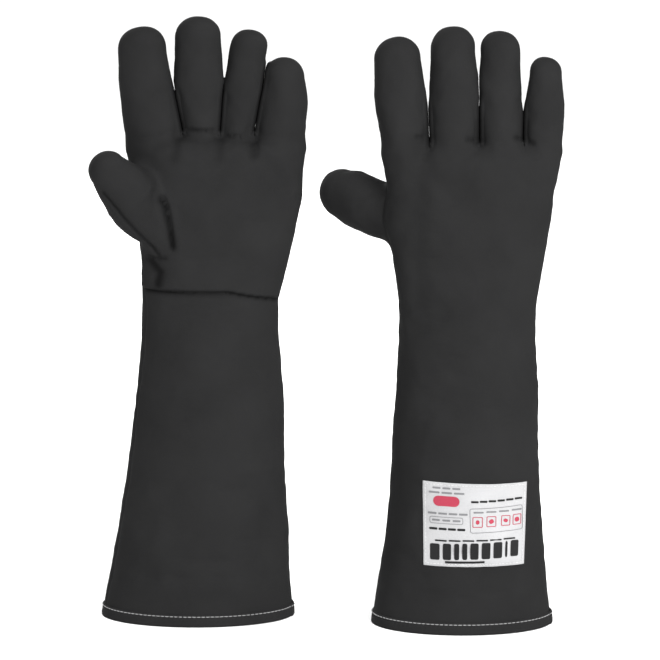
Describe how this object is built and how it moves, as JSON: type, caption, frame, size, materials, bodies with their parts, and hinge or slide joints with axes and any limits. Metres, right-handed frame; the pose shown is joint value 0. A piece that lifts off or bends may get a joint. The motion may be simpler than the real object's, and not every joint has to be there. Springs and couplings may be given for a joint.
{
  "type": "cryogenic gloves",
  "caption": "Pair of padded elbow-length gloves for handling very cold materials, with five stalls for the digits and long open cuffs that cover the forearm.",
  "frame": {"origin": "centre of the pair's footprint, on the plane the cuffs stand on", "axes": "+Z from the cuffs up to the fingertips, +X from the left glove to the right glove, -Y to the side the left palm and the back of the right hand face"},
  "size_m": [0.349, 0.115, 0.45],
  "materials": {
    "shell_fabric": "matt woven outer fabric with a water-repellent coating",
    "insulation": "soft non-woven padding",
    "lining_fabric": "soft brushed lining",
    "hem_tape": "matt woven tape",
    "thread": "twisted sewing thread",
    "label_fabric": null
  },
  "bodies": {
    "left_sleeve": {"left_sleeve_palm_panel": "shell_fabric", "left_sleeve_back_panel": "shell_fabric", "left_sleeve_padding": "insulation", "left_sleeve_lining": "lining_fabric", "left_hem_binding": "hem_tape", "left_hem_stitching": "thread"},
    "left_hand": {"left_hand_palm_panel": "shell_fabric", "left_hand_back_panel": "shell_fabric", "left_hand_padding": "insulation", "left_hand_lining": "lining_fabric"},
    "left_thumb": {"left_thumb_palm_panel": "shell_fabric", "left_thumb_back_panel": "shell_fabric", "left_thumb_padding": "insulation", "left_thumb_lining": "lining_fabric"},
    "left_index": {"left_index_shell": "shell_fabric", "left_index_padding": "insulation", "left_index_lining": "lining_fabric"},
    "left_middle": {"left_middle_palm_panel": "shell_fabric", "left_middle_back_panel": "shell_fabric", "left_middle_padding": "insulation", "left_middle_lining": "lining_fabric"},
    "left_ring": {"left_ring_palm_panel": "shell_fabric", "left_ring_back_panel": "shell_fabric", "left_ring_padding": "insulation", "left_ring_lining": "lining_fabric"},
    "left_little": {"left_little_shell": "shell_fabric", "left_little_padding": "insulation", "left_little_lining": "lining_fabric"},
    "right_sleeve": {"right_sleeve_palm_panel": "shell_fabric", "right_sleeve_back_panel": "shell_fabric", "right_sleeve_padding": "insulation", "right_sleeve_lining": "lining_fabric", "right_hem_binding": "hem_tape", "right_hem_stitching": "thread", "right_sleeve_label": "label_fabric", "right_label_stitching": "thread"},
    "right_hand": {"right_hand_palm_panel": "shell_fabric", "right_hand_back_panel": "shell_fabric", "right_hand_padding": "insulation", "right_hand_lining": "lining_fabric"},
    "right_thumb": {"right_thumb_palm_panel": "shell_fabric", "right_thumb_back_panel": "shell_fabric", "right_thumb_padding": "insulation", "right_thumb_lining": "lining_fabric"},
    "right_index": {"right_index_shell": "shell_fabric", "right_index_padding": "insulation", "right_index_lining": "lining_fabric"},
    "right_middle": {"right_middle_palm_panel": "shell_fabric", "right_middle_back_panel": "shell_fabric", "right_middle_padding": "insulation", "right_middle_lining": "lining_fabric"},
    "right_ring": {"right_ring_palm_panel": "shell_fabric", "right_ring_back_panel": "shell_fabric", "right_ring_padding": "insulation", "right_ring_lining": "lining_fabric"},
    "right_little": {"right_little_shell": "shell_fabric", "right_little_padding": "insulation", "right_little_lining": "lining_fabric"}
  },
  "joints": [
    {"name": "left_wrist_flex", "type": "hinge", "parent": "left_sleeve", "child": "left_hand", "pos_m": [-0.0826, -0.0175, 0.237], "axis": [1, 0, 0], "range_deg": [0, 40], "stiffness_Nm_per_rad": 0.5},
    {"name": "left_thumb_flex", "type": "hinge", "parent": "left_hand", "child": "left_thumb", "pos_m": [-0.1341, -0.03229, 0.3089], "axis": [0.7071, 0, 0.7071], "range_deg": [0, 35], "stiffness_Nm_per_rad": 0.02},
    {"name": "left_index_flex", "type": "hinge", "parent": "left_hand", "child": "left_index", "pos_m": [-0.12417, -0.00749, 0.36196], "axis": [0.9938, 0, 0.1115], "range_deg": [0, 70], "stiffness_Nm_per_rad": 0.02},
    {"name": "left_middle_flex", "type": "hinge", "parent": "left_hand", "child": "left_middle", "pos_m": [-0.08854, -0.00153, 0.36258], "axis": [0.9991, 0, 0.0419], "range_deg": [0, 70], "stiffness_Nm_per_rad": 0.02},
    {"name": "left_ring_flex", "type": "hinge", "parent": "left_hand", "child": "left_ring", "pos_m": [-0.06269, 0.00026, 0.36278], "axis": [0.988, 0, -0.1547], "range_deg": [0, 70], "stiffness_Nm_per_rad": 0.02},
    {"name": "left_little_flex", "type": "hinge", "parent": "left_hand", "child": "left_little", "pos_m": [-0.03093, -0.0055, 0.36217], "axis": [0.9976, 0, -0.0698], "range_deg": [0, 70], "stiffness_Nm_per_rad": 0.02},
    {"name": "right_wrist_flex", "type": "hinge", "parent": "right_sleeve", "child": "right_hand", "pos_m": [0.1063, 0.0175, 0.237], "axis": [-1, 0, 0], "range_deg": [0, 40], "stiffness_Nm_per_rad": 0.5},
    {"name": "right_thumb_flex", "type": "hinge", "parent": "right_hand", "child": "right_thumb", "pos_m": [0.04532, 0.03307, 0.31211], "axis": [-0.0926, 0.3087, -0.9466], "range_deg": [0, 35], "stiffness_Nm_per_rad": 0.02},
    {"name": "right_index_flex", "type": "hinge", "parent": "right_hand", "child": "right_index", "pos_m": [0.05944, 0.00491, 0.36223], "axis": [-0.9971, 0, -0.0767], "range_deg": [0, 70], "stiffness_Nm_per_rad": 0.02},
    {"name": "right_middle_flex", "type": "hinge", "parent": "right_hand", "child": "right_middle", "pos_m": [0.0957, 0.00511, 0.3622], "axis": [-1, 0, 0.0017], "range_deg": [0, 70], "stiffness_Nm_per_rad": 0.02},
    {"name": "right_ring_flex", "type": "hinge", "parent": "right_hand", "child": "right_ring", "pos_m": [0.12989, 0.00312, 0.36241], "axis": [-1, 0, 0.0052], "range_deg": [0, 70], "stiffness_Nm_per_rad": 0.02},
    {"name": "right_little_flex", "type": "hinge", "parent": "right_hand", "child": "right_little", "pos_m": [0.16121, 0.00272, 0.36246], "axis": [-0.9982, 0, 0.0593], "range_deg": [0, 70], "stiffness_Nm_per_rad": 0.02},
    {"name": "right_glove_slide", "type": "slide", "parent": "left_sleeve", "child": "right_sleeve", "axis": [1, 0, 0], "range_m": [0, 0.2]}
  ]
}
